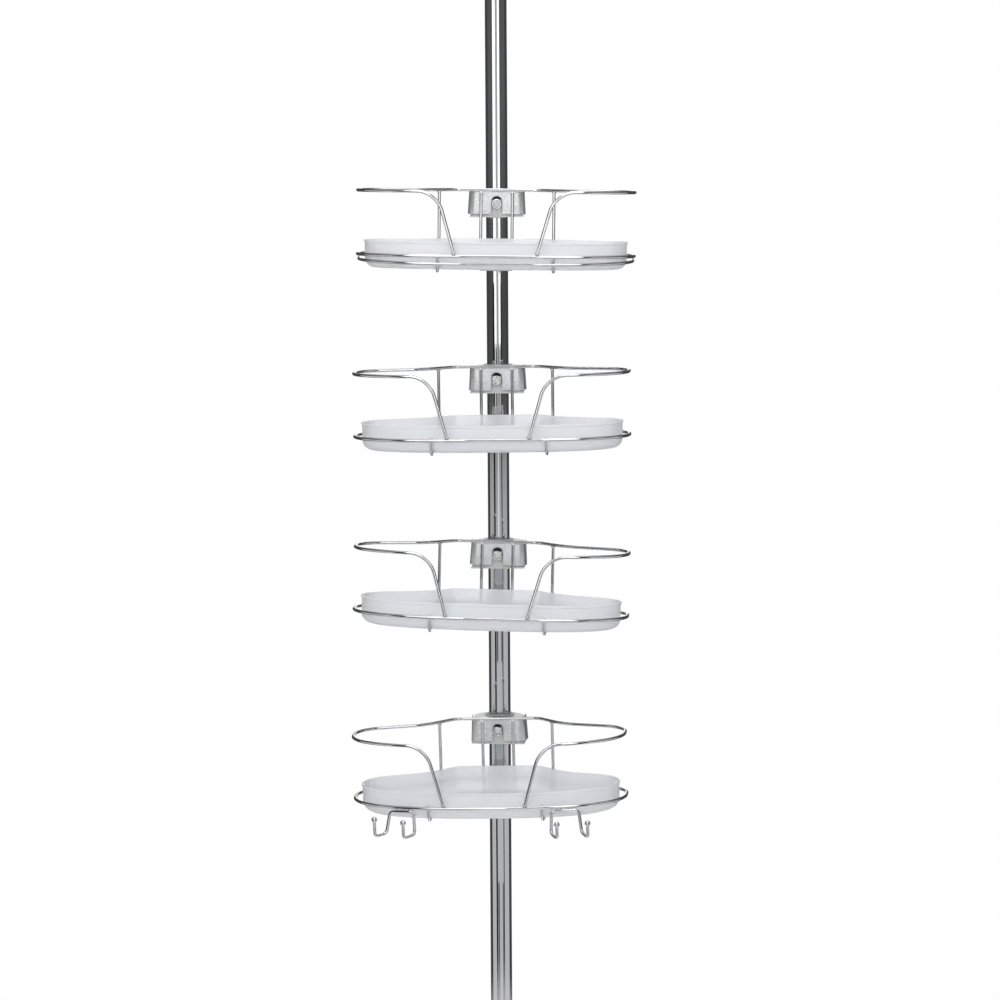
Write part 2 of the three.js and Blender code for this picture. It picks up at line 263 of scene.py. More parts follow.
def pin(radius, start, end, sides=32):
    """A round tool or bar between two places in mm, made where it is needed."""
    start, end = mm(*start), mm(*end)
    along = end - start
    turned = along.to_track_quat("Z", "Y").to_euler()
    clear()
    bpy.ops.mesh.primitive_cylinder_add(
        vertices=sides, radius=radius * MM, depth=along.length,
        location=(start + end) / 2, rotation=turned)
    bpy.ops.object.transform_apply(location=True, rotation=True, scale=True)
    return bpy.context.object


def brick(low, high):
    """A square-cut tool between two opposite corners in mm."""
    low, high = mm(*low), mm(*high)
    clear()
    bpy.ops.mesh.primitive_cube_add(size=1, location=(low + high) / 2, scale=high - low)
    bpy.ops.object.transform_apply(location=True, rotation=True, scale=True)
    return bpy.context.object


# %% [markdown]
# The world, the floor and every material are small trees of nodes. Two helpers place the nodes
# and join them up.

# %% Node trees
def node(tree, kind, **values):
    """Add a node; each value sets an input socket, or else a setting of the node."""
    made = tree.nodes.new(kind)
    for key, value in values.items():
        if key in made.inputs:
            made.inputs[key].default_value = value
        else:
            setattr(made, key, value)
    return made


def join_up(tree, *links):
    """links: (node, its output, node, its input), each socket by name or number."""
    for source, output_socket, target, input_socket in links:
        tree.links.new(source.outputs[output_socket], target.inputs[input_socket])


def new_look(name, sockets):
    """A new material and its Principled node, with some of the node's sockets set."""
    look = bpy.data.materials.new(name)
    look.use_nodes = True
    surface = look.node_tree.nodes["Principled BSDF"]
    for key, value in sockets.items():
        surface.inputs[key].default_value = value
    return look, surface


# %% [markdown]
# ## The studio
# The caddy stands before plain white, in soft light from the front. A chrome pole shows its
# surroundings and little else, so the light is set for its reflections: two tall soft boxes beside
# the camera draw the pair of bright lines down its middle, and the dim room beside it draws the
# dark bands towards its edges. The world shows plain white to the camera and that dim room only
# to reflections.

# %% Colours on the screen, and the camera
bpy.context.scene.view_settings.view_transform = "Standard"

CAMERA_PLACE = Vector((0.0016, -3.9553, 1.1153))
CAMERA_LENS = 122.4
PITCH = math.radians(5.943)  # looking down
ROLL = -0.006

clear()
bpy.ops.object.camera_add(location=CAMERA_PLACE)
camera = bpy.context.object
camera.name = "camera"
camera.data.lens = CAMERA_LENS
camera.data.sensor_width = 36
camera.data.clip_end = 60
tipped = Euler((math.pi / 2 - PITCH, 0, 0)).to_matrix()
camera.rotation_euler = (tipped @ Matrix.Rotation(ROLL, 3, "Z")).to_euler()
bpy.context.scene.camera = camera
print("camera at", [round(c, 3) for c in camera.location], "lens", CAMERA_LENS, "mm")

# %% The world: white to the camera, an even fill to dull surfaces, a dim room to reflections
FILL = 0.78
ROOM_BANDS = [  # (height of the direction's unit vector, how bright the room is there)
    (-1.0, 0.80), (-0.14, 0.74), (-0.085, 0.5), (-0.05, 0.12), (0.0, 0.10),
    (0.12, 0.16), (0.5, 0.08), (0.7, 0.5), (0.9, 0.9)]
world = bpy.data.worlds.new("studio")
bpy.context.scene.world = world
world.use_nodes = True
world.cycles.sampling_method = "NONE"
tree = world.node_tree
tree.nodes.clear()
direction = node(tree, "ShaderNodeTexCoord")
split = node(tree, "ShaderNodeSeparateXYZ")
level = node(tree, "ShaderNodeMapRange", **{"From Min": -1})
bands = node(tree, "ShaderNodeValToRGB")
ray = node(tree, "ShaderNodeLightPath")
room = node(tree, "ShaderNodeBackground")
white = node(tree, "ShaderNodeBackground", Color=(1, 1, 1, 1))
fill = node(tree, "ShaderNodeBackground", Color=(FILL, FILL, FILL, 1))
for_dull = node(tree, "ShaderNodeMixShader")
for_glossy = node(tree, "ShaderNodeMixShader")
output = node(tree, "ShaderNodeOutputWorld")
while len(bands.color_ramp.elements) < len(ROOM_BANDS):
    bands.color_ramp.elements.new(0.5)
for stop, (height, grey) in zip(bands.color_ramp.elements, ROOM_BANDS):
    stop.position = (height + 1) / 2
    stop.color = (grey, grey, grey * 1.02, 1)
join_up(
    tree,
    (direction, "Generated", split, 0), (split, "Z", level, "Value"), (level, "Result", bands, 0),
    (bands, "Color", room, "Color"),
    (ray, "Is Diffuse Ray", for_dull, 0), (white, 0, for_dull, 1), (fill, 0, for_dull, 2),
    (ray, "Is Glossy Ray", for_glossy, 0), (for_dull, 0, for_glossy, 1), (room, 0, for_glossy, 2),
    (for_glossy, 0, output, "Surface"))
print("the world is white to the camera and a dim room to reflections")


# %% Soft boxes, with a low strip under each of the two beside the camera
def place_round(azimuth, distance, height):
    """A place round the pole; azimuth 0 is the camera's side and 90 the right."""
    a = math.radians(azimuth)
    return Vector((math.sin(a) * distance, -math.cos(a) * distance, height))


def soft_box(name, azimuth, distance, height, size, radiance, aim_height=0.8):
    place = place_round(azimuth, distance, height)
    aim = Vector((0, 0, aim_height)) - place
    clear()
    bpy.ops.object.light_add(type="AREA", location=place,
                             rotation=aim.to_track_quat("-Z", "Y").to_euler())
    light = bpy.context.object
    light.name = light.data.name = name
    light.data.shape = "RECTANGLE"
    light.data.size, light.data.size_y = size
    light.data.energy = radiance * math.pi * size[0] * size[1]
    light.visible_camera = False


soft_box("soft_box_left", -25, 3.0, 2.16, (1.6, 2.6), 1.9, aim_height=2.16)
soft_box("soft_box_right", 22, 3.0, 2.16, (1.2, 2.6), 1.9, aim_height=2.16)
soft_box("strip_left", -25, 3.0, 0.7, (0.5, 0.32), 0.9, aim_height=0.7)
soft_box("strip_right", 22, 3.0, 0.7, (0.5, 0.32), 0.9, aim_height=0.7)
soft_box("soft_box_middle", 0, 5.0, 1.3, (1.4, 2.6), 0.5)
soft_box("soft_box_top", 0, 0.3, 3.4, (1.6, 1.6), 3.0)
soft_box("soft_box_back", 180, 3.0, 1.2, (1.4, 2.4), 1.0)
print("seven soft boxes light the caddy")

# %% [markdown]
# Chrome on white has no outline unless something dark stands beside it. Two dark flags a little
# behind the pole, left and right, are seen only by reflections and draw the dark line along both
# edges of the tube. Two narrow black ones in front part the bright middle from the grey sides, and
# a few short grey ones stand in for the things in a room that break up a reflection.

# %% Flags
def card_paint(name, grey):
    return new_look(name, {
        "Base Color": (0, 0, 0, 1), "Specular IOR Level": 0,
        "Emission Color": (grey, grey, grey, 1), "Emission Strength": 1})[0]


flag_black = card_paint("flag_black", 0.01)
flag_dark = card_paint("flag_dark", 0.08)
flag_grey = card_paint("flag_grey", 0.2)


def flag(name, paint, azimuth, distance, width, foot, top):
    """An upright card; foot and top are heights in metres, below the floor's level if need be."""
    place = place_round(azimuth, distance, (top + foot) / 2)
    turned = Vector((place.x, place.y, 0)).to_track_quat("Z", "Y").to_euler()
    clear()
    bpy.ops.mesh.primitive_plane_add(size=1, location=place, rotation=turned)
    card = bpy.context.object
    card.name = name
    card.scale = (width, top - foot, 1)
    card.data.materials.append(paint)
    for kind in ("camera", "diffuse", "transmission", "volume_scatter", "shadow"):
        setattr(card, "visible_" + kind, False)


flag("flag_left", flag_dark, -132.5, 0.7, 0.89, -1, 2.4)
flag("flag_right", flag_dark, 132.5, 0.7, 0.89, -1, 2.4)
flag("flag_front_left", flag_black, -41, 0.8, 0.24, -1, 0.98)
flag("flag_front_right", flag_black, 36, 0.8, 0.14, -1, 0.98)
for number, (foot, top) in enumerate([(-1.0, -0.03), (0.09, 0.19), (0.35, 0.44)], start=1):
    flag(f"grey_left_{number}", flag_grey, -21, 0.8, 0.24, foot, top)
    flag(f"grey_right_{number}", flag_grey, 24, 0.8, 0.16, foot, top)
print("ten flags stand where only reflections see them")

# %% The floor fades into the white, so no horizon shows behind the pole
FLOOR_SIZE = 4
FADE_FROM, FADE_TO = 0.1, 0.45  # metres from the pole
clear()
bpy.ops.mesh.primitive_circle_add(vertices=96, radius=FLOOR_SIZE / 2, fill_type="NGON")
floor = bpy.context.object
floor.name = "floor"

floor_look = bpy.data.materials.new("pale_floor")
floor_look.use_nodes = True
tree = floor_look.node_tree
tree.nodes.clear()
where = node(tree, "ShaderNodeTexCoord")
reach = node(tree, "ShaderNodeVectorMath", operation="LENGTH")
fade = node(tree, "ShaderNodeMapRange", interpolation_type="SMOOTHSTEP",
            **{"From Min": FADE_FROM, "From Max": FADE_TO})
pale = node(tree, "ShaderNodeBsdfDiffuse", Color=(0.93, 0.93, 0.93, 1))
clear_air = node(tree, "ShaderNodeBsdfTransparent")
blend_floor = node(tree, "ShaderNodeMixShader")
output = node(tree, "ShaderNodeOutputMaterial")
join_up(
    tree,
    (where, "Object", reach, 0), (reach, "Value", fade, "Value"),
    (fade, "Result", blend_floor, 0), (pale, 0, blend_floor, 1), (clear_air, 0, blend_floor, 2),
    (blend_floor, 0, output, "Surface"))
floor.data.materials.append(floor_look)
print("floor disc", FLOOR_SIZE, "m across")

# %% [markdown]
# ## Finishes
# Effects that several finishes share are node groups: fine marks along drawn metal, the grain of
# a moulded surface, and slow unevenness. Each finish gives a group its own scale and strength. The
# group only puts out masks and heights; the shader itself stays in the material.

# %% A new group with its sockets
def new_group(name, inputs, outputs):
    tree = bpy.data.node_groups.new(name, "ShaderNodeTree")
    for label, kind, value in inputs:
        socket = tree.interface.new_socket(label, in_out="INPUT", socket_type=kind)
        if value is not None:
            socket.default_value = value
    for label in outputs:
        tree.interface.new_socket(label, in_out="OUTPUT", socket_type="NodeSocketFloat")
    return tree, tree.nodes.new("NodeGroupInput"), tree.nodes.new("NodeGroupOutput")


FLOAT, VECTOR = "NodeSocketFloat", "NodeSocketVector"

# %% [markdown]
# Drawn tube carries hair-fine lines along its length. They are noise, and the tube's finish
# stretches it hard in that direction. A second, slower noise makes some places a little duller
# than others, as handling does.

# %% Group: fine lines and dull patches
lines, into, out = new_group(
    "fine_lines",
    [("Vector", VECTOR, None), ("Fineness", FLOAT, 900.0), ("Patch Size", FLOAT, 25.0)],
    ["Lines", "Patches"],
)
hair = node(lines, "ShaderNodeTexNoise", Detail=3.0, Roughness=0.6)
patch = node(lines, "ShaderNodeTexNoise", Detail=2.0, Roughness=0.5)
spread = node(lines, "ShaderNodeMapRange", **{"From Min": 0.35, "From Max": 0.65})
join_up(
    lines,
    (into, "Vector", hair, "Vector"), (into, "Fineness", hair, "Scale"),
    (into, "Vector", patch, "Vector"), (into, "Patch Size", patch, "Scale"),
    (patch, "Fac", spread, "Value"),
    (hair, "Fac", out, "Lines"), (spread, "Result", out, "Patches"))
print("fine_lines:", len(lines.nodes), "nodes")

# %% [markdown]
# Moulded plastic and rubber show a fine spark-eroded grain, and a slow change of tone where the
# melt flowed. The same group makes the crystal speckle of a zinc-plated sheet, with larger cells.

# %% Group: moulded grain
grain, into, out = new_group(
    "moulded_grain",
    [("Vector", VECTOR, None), ("Grain Scale", FLOAT, 1200.0), ("Flow Scale", FLOAT, 12.0)],
    ["Grain", "Flow"],
)
cells = node(grain, "ShaderNodeTexVoronoi", feature="SMOOTH_F1", Smoothness=0.6)
flow = node(grain, "ShaderNodeTexNoise", Detail=2.0, Distortion=0.4)
join_up(
    grain,
    (into, "Vector", cells, "Vector"), (into, "Grain Scale", cells, "Scale"),
    (into, "Vector", flow, "Vector"), (into, "Flow Scale", flow, "Scale"),
    (cells, "Distance", out, "Grain"), (flow, "Fac", out, "Flow"))
print("moulded_grain:", len(grain.nodes), "nodes")

# %% [markdown]
# Every finish is then one Principled shader. Its colour and roughness are mixed between two values
# by masks from a group, and a Bump node takes its height from the group too.

# %% A finish from a group and a few numbers
def finish(name, group, masks, colours, roughness, bump, stretch=(1, 1, 1), sizes=(), **shader):
    """masks: (the one for colour, the one for roughness and height); bump: (strength, mm)."""
    look, surface = new_look(name, shader)
    tree = look.node_tree
    where = node(tree, "ShaderNodeTexCoord")
    mapping = node(tree, "ShaderNodeMapping", Scale=stretch)
    effect = node(tree, "ShaderNodeGroup", node_tree=group)
    for label, value in sizes:
        effect.inputs[label].default_value = value
    tint = node(tree, "ShaderNodeValToRGB")
    for stop, colour in zip(tint.color_ramp.elements, colours):
        stop.color = (*colour, 1)
    dull = node(tree, "ShaderNodeMapRange", **{"To Min": roughness[0], "To Max": roughness[1]})
    relief = node(tree, "ShaderNodeBump", Strength=bump[0], Distance=bump[1] * MM)
    join_up(
        tree,
        (where, "Object", mapping, "Vector"), (mapping, "Vector", effect, "Vector"),
        (effect, masks[0], tint, "Fac"), (tint, "Color", surface, "Base Color"),
        (effect, masks[1], dull, "Value"), (dull, "Result", surface, "Roughness"),
        (effect, masks[1], relief, "Height"), (relief, "Normal", surface, "Normal"))
    return look


def grainy(name, colours, roughness, bump, grain_scale, flow_scale, mask="Flow", **shader):
    sizes = [("Grain Scale", grain_scale), ("Flow Scale", flow_scale)]
    return finish(name, grain, (mask, "Grain"), colours, roughness, bump, sizes=sizes, **shader)


# %% The finishes of this caddy
chrome_tube = finish(
    "chrome_tube", lines, ("Patches", "Lines"),
    colours=[(0.53, 0.54, 0.55), (0.58, 0.59, 0.6)], roughness=(0.02, 0.06),
    bump=(0.04, 0.01), stretch=(1, 1, 0.02), sizes=[("Fineness", 700), ("Patch Size", 14)],
    Metallic=1.0)
chrome_wire = finish(
    "chrome_wire", lines, ("Patches", "Patches"),
    colours=[(0.64, 0.64, 0.65), (0.73, 0.73, 0.74)], roughness=(0.03, 0.08),
    bump=(0.1, 0.05), sizes=[("Fineness", 500), ("Patch Size", 60)], Metallic=1.0)
satin_plate = grainy(
    "satin_plate", [(0.66, 0.67, 0.69), (1.0, 1.0, 1.0)], (0.38, 0.55), (0.8, 0.3), 640, 40,
    mask="Grain", Metallic=1.0)
weld_bead = grainy(
    "weld_bead", [(0.9, 0.9, 0.9), (0.98, 0.98, 0.98)], (0.25, 0.4), (0.3, 0.1), 900, 60,
    Metallic=0.25)
bright_zinc = grainy(
    "bright_zinc", [(0.76, 0.77, 0.75), (0.86, 0.86, 0.84)], (0.14, 0.26), (0.2, 0.04), 1500, 90,
    Metallic=1.0)
frosted_tray = grainy(
    "frosted_tray", [(0.94, 0.965, 0.995), (0.975, 0.985, 1.0)], (0.42, 0.55), (0.15, 0.05), 800, 9,
    **{"Transmission Weight": 0.5, "IOR": 1.49})
grey_moulding = grainy(
    "grey_moulding", [(0.46, 0.48, 0.46), (0.56, 0.58, 0.56)], (0.22, 0.36), (0.2, 0.05), 1100, 30)
white_moulding = grainy(
    "white_moulding", [(0.58, 0.59, 0.6), (0.64, 0.65, 0.66)], (0.3, 0.42), (0.2, 0.05), 1100, 14)
# Black rubber for the pads; the same material is also painted shade inside the clamp block's nut
# slot and the screw's socket.
rubber_and_painted_shade = grainy(
    "rubber_and_painted_shade", [(0.045, 0.046, 0.048), (0.075, 0.076, 0.08)], (0.55, 0.75), (0.4, 0.1), 700, 20)
grip_rubber = grainy(
    "grip_rubber", [(0.36, 0.37, 0.38), (0.44, 0.45, 0.46)], (0.3, 0.45), (0.3, 0.08), 900, 50)
spring_wire = finish(
    "spring_wire", lines, ("Patches", "Lines"),
    colours=[(0.28, 0.28, 0.29), (0.4, 0.4, 0.41)], roughness=(0.2, 0.38),
    bump=(0.2, 0.04), sizes=[("Fineness", 900), ("Patch Size", 120)], Metallic=1.0)
print(len(bpy.data.materials), "materials")


# %% [markdown]
# ## Handing a piece to the frame
# A finished piece takes its material, rides on the CAD body that moves it, and hides the CAD node
# that it stands for.

# %% One call for each finished piece
def hand_over(piece, look, body, slot, *nodes):
    if not piece.data.materials:
        piece.data.materials.append(look)
    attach(piece, body)
    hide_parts(*nodes)
    print(f"{piece.name}: {len(piece.data.polygons)} faces, rides on {body}")


# %% [markdown]
# ## The pole
# Two chrome tubes slide in each other. Drawn tube is cut and its ends are eased by a turning
# tool, so each tube is a turned ring with small rounded corners, not a bare cylinder. The inner
# tube comes out of a plastic collar on the mouth of the outer one.

# %% The two tubes
EASED = 0.35  # rounding of a tube's cut ends
POLE_R, TUBE_WALL, LOWER_FOOT, LOWER_TOP = 12.7, 1.0, 12.3, 1400
UPPER_R, UPPER_FOOT, UPPER_TOP = 11.1, 950, 1890


def tube(name, radius, foot, top):
    bore = radius - TUBE_WALL
    profile = [(bore, foot, EASED), (radius, foot, EASED), (radius, top, EASED), (bore, top, EASED)]
    return turn(name, profile, steps=96, ring=True)


hand_over(tube("pole_lower_tube", POLE_R, LOWER_FOOT, LOWER_TOP), chrome_tube, "pole", "chrome",
          "lower_tube")
hand_over(tube("pole_upper_tube", UPPER_R, UPPER_FOOT, UPPER_TOP), chrome_tube, "mast", "chrome",
          "upper_tube")

# %% [markdown]
# The foot is a moulded cup that widens to a rubber pad. Real cups are thin mouldings with ribs
# that carry the load from the socket out to the rim, so the cup is a turned shell, and one rib
# is modelled and copied round it. The pad has a rounded edge and two grooves underneath, which
# stop it sliding on a wet rim.

# %% Cup with ribs, for the foot and, upside down, for the ceiling
GAP = 0.3
PAD_R, PAD_H, CUP_R, CUP_H, SOCKET_R = 30, 6, 28, 40, 16.5
CEILING_CUP_H, PLUNGE = 26, 30
RIBS, RIB_T = 8, 1.8


def ribs_round(low, high, thickness=RIB_T):
    """Ribs between a lower and an upper edge, each a list of (radius, height) pairs in mm."""
    corners = [(mm(r, 0, z), 0) for r, z in low + high[::-1]]
    lay_face(corners)
    bpy.ops.transform.translate(value=mm(0, -thickness / 2, 0))
    extrude(mm(0, thickness, 0))
    face_outwards()
    clear()
    rib = bpy.context.view_layer.objects.active
    soften(rib, thickness * 0.3)
    return copies_round(rib, RIBS)


def pad(name, low, high, outer):
    """outer is +1 when the pad's bearing face looks up and -1 when it looks down."""
    face, back = (high, low) if outer > 0 else (low, high)
    inward = -outer
    profile = [(0, back, 0), (PAD_R - 1.2, back, 0.5), (PAD_R, back - inward * 1.4, 0.6),
               (PAD_R, face + inward * 1.6, 1.0), (PAD_R - 1.6, face, 0.6)]
    for r in (22, 13):
        profile += [(r + 1.2, face, 0.3), (r + 0.8, face + inward * 1.2, 0.3),
                    (r - 0.8, face + inward * 1.2, 0.3), (r - 1.2, face, 0.3)]
    return turn(name, profile + [(0, face, 0)], steps=72)


foot = PAD_H + GAP
top = foot + CUP_H
cup = turn("foot_cup", [
    (0, foot, 0), (CUP_R - 1, foot, 0.6), (CUP_R, foot + 1, 0.5), (CUP_R, foot + 6.4, 1.6),
    (CUP_R - 2.2, foot + 8.6, 2.4), (SOCKET_R + 1.4, foot + 21, 5), (SOCKET_R, foot + 27, 4),
    (SOCKET_R, top - 3.2, 0.5), (SOCKET_R + 0.9, top - 2.4, 0.4), (SOCKET_R + 0.9, top - 0.6, 0.5),
    (SOCKET_R + 0.2, top, 0.4), (POLE_R + 1.0, top, 0.5), (POLE_R + GAP, top - 1, 0.3),
    (POLE_R + GAP, LOWER_FOOT - GAP, 0), (0, LOWER_FOOT - GAP, 0)])
ribs = ribs_round([(CUP_R - 3.4, foot + 7.2), (SOCKET_R - 1, foot + 9)],
                  [(CUP_R - 3.6, foot + 9.8), (SOCKET_R - 1, foot + 31)])
hand_over(weld_together("foot_cup", cup, *ribs), white_moulding, "pole", "white_plastic",
          "foot_cup")
hand_over(pad("foot_pad", 0, PAD_H, -1), rubber_and_painted_shade, "pole", "rubber", "foot_pad")

# %% The ceiling cup is lower and has a short socket for the steel stem
STEM_R = 7.5
CAP_RISE = 3  # how far the tube's cap stands out of the tube
cup_foot = UPPER_TOP + CAP_RISE + PLUNGE + 1
cup_top = cup_foot + CEILING_CUP_H
stem_top = cup_foot + CEILING_CUP_H * 0.6
cup = turn("ceiling_cup", [
    (0, stem_top + GAP, 0), (STEM_R + GAP, stem_top + GAP, 0), (STEM_R + GAP, cup_foot + 0.6, 0.3),
    (STEM_R + 1, cup_foot, 0.4), (SOCKET_R * 0.7 - 0.6, cup_foot, 0.5),
    (SOCKET_R * 0.7, cup_foot + 0.8, 0.5), (SOCKET_R * 0.72, cup_foot + 6, 2),
    (SOCKET_R, cup_foot + 12, 3), (CUP_R - 2, cup_foot + 18.6, 2.4), (CUP_R, cup_foot + 20.4, 1.2),
    (CUP_R, cup_top - 1, 0.5), (CUP_R - 1, cup_top, 0.6), (0, cup_top, 0)])
ribs = ribs_round([(CUP_R - 4, cup_foot + 18.2), (SOCKET_R * 0.66, cup_foot + 18.2)],
                  [(CUP_R - 4, cup_foot + 16.4), (SOCKET_R * 0.66, cup_foot + 4)])
hand_over(weld_together("ceiling_cup", cup, *ribs), white_moulding, "ceiling_foot", "white_plastic",
          "ceiling_cup")
hand_over(pad("ceiling_pad", cup_top + GAP, cup_top + GAP + PAD_H, 1), rubber_and_painted_shade, "ceiling_foot",
          "rubber", "ceiling_pad")

# %% [markdown]
# The lock collar is a moulded sleeve with grip flutes. It steps in at its mouth to meet the
# thinner upper tube. Its thumb screw has a lobed knob, so that wet fingers can turn it.

# %% Lock collar
COLLAR_R, COLLAR_H, SHANK_R = 18, 40, 3
collar_top = LOWER_TOP + 16
collar_foot = collar_top - COLLAR_H
lock_z = LOWER_TOP + 8
collar = turn("lock_collar", [
    (POLE_R + GAP, collar_foot, 0.3), (COLLAR_R - 1.4, collar_foot, 0.8),
    (COLLAR_R, collar_foot + 2, 0.8), (COLLAR_R, collar_foot + 5, 0.4),
    (COLLAR_R - 0.8, collar_foot + 5.8, 0.4), (COLLAR_R - 0.8, lock_z - 9, 0.4),
    (COLLAR_R, lock_z - 8, 0.4), (COLLAR_R, collar_top - 3, 1.6), (COLLAR_R - 2.4, collar_top, 0.8),
    (UPPER_R + GAP, collar_top, 0.4), (UPPER_R + GAP, LOWER_TOP + GAP, 0),
    (POLE_R + GAP, LOWER_TOP + GAP, 0)], steps=96, ring=True)
carve(collar, pin(SHANK_R + GAP, (0, -COLLAR_R - 2, lock_z), (0, -UPPER_R, lock_z)))
FLUTES, FLUTE_R, FLUTE_AT = 24, 0.55, COLLAR_R - 0.7
flute = pin(FLUTE_R, (FLUTE_AT, 0, collar_foot + 6.4), (FLUTE_AT, 0, lock_z - 9.6), sides=12)
edit(flute)
pick(lambda f: abs(f.normal.z) > 0.9, "FACE")
bpy.ops.mesh.bevel(offset=0.4 * MM, segments=3)
clear()
collar = weld_together("lock_collar", collar, *copies_round(flute, FLUTES, offset=0.5))
smooth(collar, 40)
hand_over(collar, white_moulding, "pole", "white_plastic", "lock_collar")

# %% Thumb screw: a lobed knob on a short shank
KNOB_R, KNOB_H, LOBES = 8, 11, 10
knob_back = -COLLAR_R - GAP
profile = [(0, 0, 0), (KNOB_R - 2.4, 0, 0.9), (KNOB_R - 2.0, 0.9, 0.5), (KNOB_R - 0.9, 1.0, 0.8),
           (KNOB_R, 2.4, 1.0), (KNOB_R, KNOB_H - 2.2, 1.0), (KNOB_R - 1.6, KNOB_H - 0.4, 0.6),
           (SHANK_R + 1, KNOB_H, 0.6), (SHANK_R, KNOB_H + 0.6, 0.3),
           (SHANK_R, KNOB_H + 6.1, 0.3), (0, KNOB_H + 6.1, 0)]
knob = turn("lock_screw", profile, steps=LOBES * 8)
HOLLOW_HALF, HOLLOW_DEEP = 1.4, 0.7  # of the hollows between the lobes
edit(knob)
for i in range(LOBES):
    a = 2 * math.pi * i / LOBES
    spot = Vector((math.cos(a), math.sin(a), 0))
    pick(lambda v: (v.co.xy - (spot * KNOB_R * MM).xy).length < HOLLOW_HALF * MM
         and v.co.z < (KNOB_H - 0.2) * MM and v.co.xy.length > (KNOB_R - 1.8) * MM)
    bpy.ops.transform.translate(value=spot * -HOLLOW_DEEP * MM)
clear()
lay_down(knob, knob_back - KNOB_H, lock_z)
smooth(knob, 40)
hand_over(knob, white_moulding, "lock_screw", "white_plastic", "lock_screw")

# %% [markdown]
# At the top a steel stem is pushed out of the tube by a spring. The spring stands on a plastic
# seat inside the tube and presses on the stem's flange; the cap in the tube's mouth keeps the
# flange in. Its end turns are closed and lie flat, as on a real compression spring, so its wire
# is laid as a chain of points whose rise slows down at both ends.

# %% Spring, seat, stem and cap
CAP_H, FLANGE_R, FLANGE_H, SPRING_H, SPRING_R, SPRING_WIRE_R = 13, 9.6, 10, 69, 8, 0.9
TURNS, STEPS_A_TURN = 8, 20
bore = UPPER_R - TUBE_WALL
cap_foot = UPPER_TOP - CAP_H + CAP_RISE
flange_top = cap_foot - GAP
spring_top = flange_top - FLANGE_H - GAP
spring_foot = spring_top - SPRING_H
tall = SPRING_H - 2 * SPRING_WIRE_R
closed_turn = 2 * SPRING_WIRE_R + 0.1  # rise of an end turn that lies on the next one


def coil_height(turns):
    """Height of the wire's middle after so many turns: closed, open, closed."""
    if turns < 1:
        return closed_turn * turns * turns
    if turns > TURNS - 1:
        return tall - closed_turn * (TURNS - turns) ** 2
    return closed_turn + (tall - 2 * closed_turn) * (turns - 1) / (TURNS - 2)


coil = []
for i in range(TURNS * STEPS_A_TURN + 1):
    turns = i / STEPS_A_TURN
    a = 2 * math.pi * turns
    coil.append((mm(SPRING_R * math.cos(a), SPRING_R * math.sin(a),
                    spring_foot + SPRING_WIRE_R + coil_height(turns)), 0))
spring = bend_wire("spring", coil, SPRING_WIRE_R)
hand_over(spring, spring_wire, "mast", "spring_steel", "spring")
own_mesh(spring)

inside = bore - GAP
seat_top = spring_foot - GAP
seat_foot = seat_top - 12
seat = turn("spring_seat", [
    (0, seat_foot, 0), (inside - 0.6, seat_foot, 0.5), (inside, seat_foot + 0.8, 0.4),
    (inside, seat_top - 0.8, 0.4), (inside - 0.8, seat_top, 0.4), (5.6, seat_top, 0.5),
    (5.0, seat_top - 1.6, 0.6), (0, seat_top - 1.6, 0)], steps=48)
hand_over(seat, grey_moulding, "mast", "grey_plastic", "spring_seat")
cap = turn("tube_cap", [
    (STEM_R + 2 * GAP, cap_foot, 0.3), (inside - 0.4, cap_foot, 0.3), (inside, cap_foot + 0.8, 0.3),
    (inside, UPPER_TOP + GAP, 0), (UPPER_R - 0.3, UPPER_TOP + GAP, 0.2),
    (UPPER_R, UPPER_TOP + 0.7, 0.2), (UPPER_R, UPPER_TOP + 2, 0.8),
    (UPPER_R - 1.2, UPPER_TOP + CAP_RISE, 0.6), (STEM_R + 2 * GAP, UPPER_TOP + CAP_RISE, 0.4)],
    steps=64, ring=True)
hand_over(cap, white_moulding, "mast", "white_plastic", "tube_cap")
flange_foot = flange_top - FLANGE_H
stem = turn("ceiling_stem", [
    (0, flange_foot, 0), (FLANGE_R - 0.8, flange_foot, 0.5), (FLANGE_R, flange_foot + 0.8, 0.5),
    (FLANGE_R, flange_top - 0.6, 0.3), (FLANGE_R - 0.6, flange_top, 0.3),
    (STEM_R + 0.3, flange_top, 0.2), (STEM_R, flange_top + 0.6, 0.3),
    (STEM_R, stem_top - 0.8, 0.5), (STEM_R - 0.8, stem_top, 0.4), (0, stem_top, 0)], steps=64)
hand_over(stem, bright_zinc, "ceiling_foot", "satin_steel", "ceiling_stem")

# %% [markdown]
# ## The shelf, modelled once
# The four shelves are the same product, so each of their pieces is modelled once, about the pole's
# axis with the rail at height 0, and then copied to each shelf's place. The hanging part of a
# shelf sits on its clamp a little crooked, so it gets that lean too, and the clamp does not.

# %% Sizes that several shelf pieces share, in mm
RAIL_R, UPRIGHT_R = 1.9, 1.7
RING_Z = -71.3
PLATE_FACE, PLATE_T, PLATE_TOP, PLATE_FOOT = -24.8, 1.7, 1, -27.9
SLOT_W, SLOT_ARCH, SCREW_Z = 12.5, -13.3, -16
HEAD_R, HEAD_H = 5.8, 7
BLOCK_FACE, BLOCK_FOOT, LIP_H, LIP_HALF, LIP_FACE = -22.3, -29.4, 1.8, 31, -23.9
FLARE = 0.055
TRAY_FOOT, TRAY_TOP, TRAY_WALL, TRAY_EDGE = -86.5, -55.5, 2.2, 11
FRONT_Y = -196.5
FRONT_SLOPE = 12.5 / 67  # how fast the ring's front falls back towards its ends
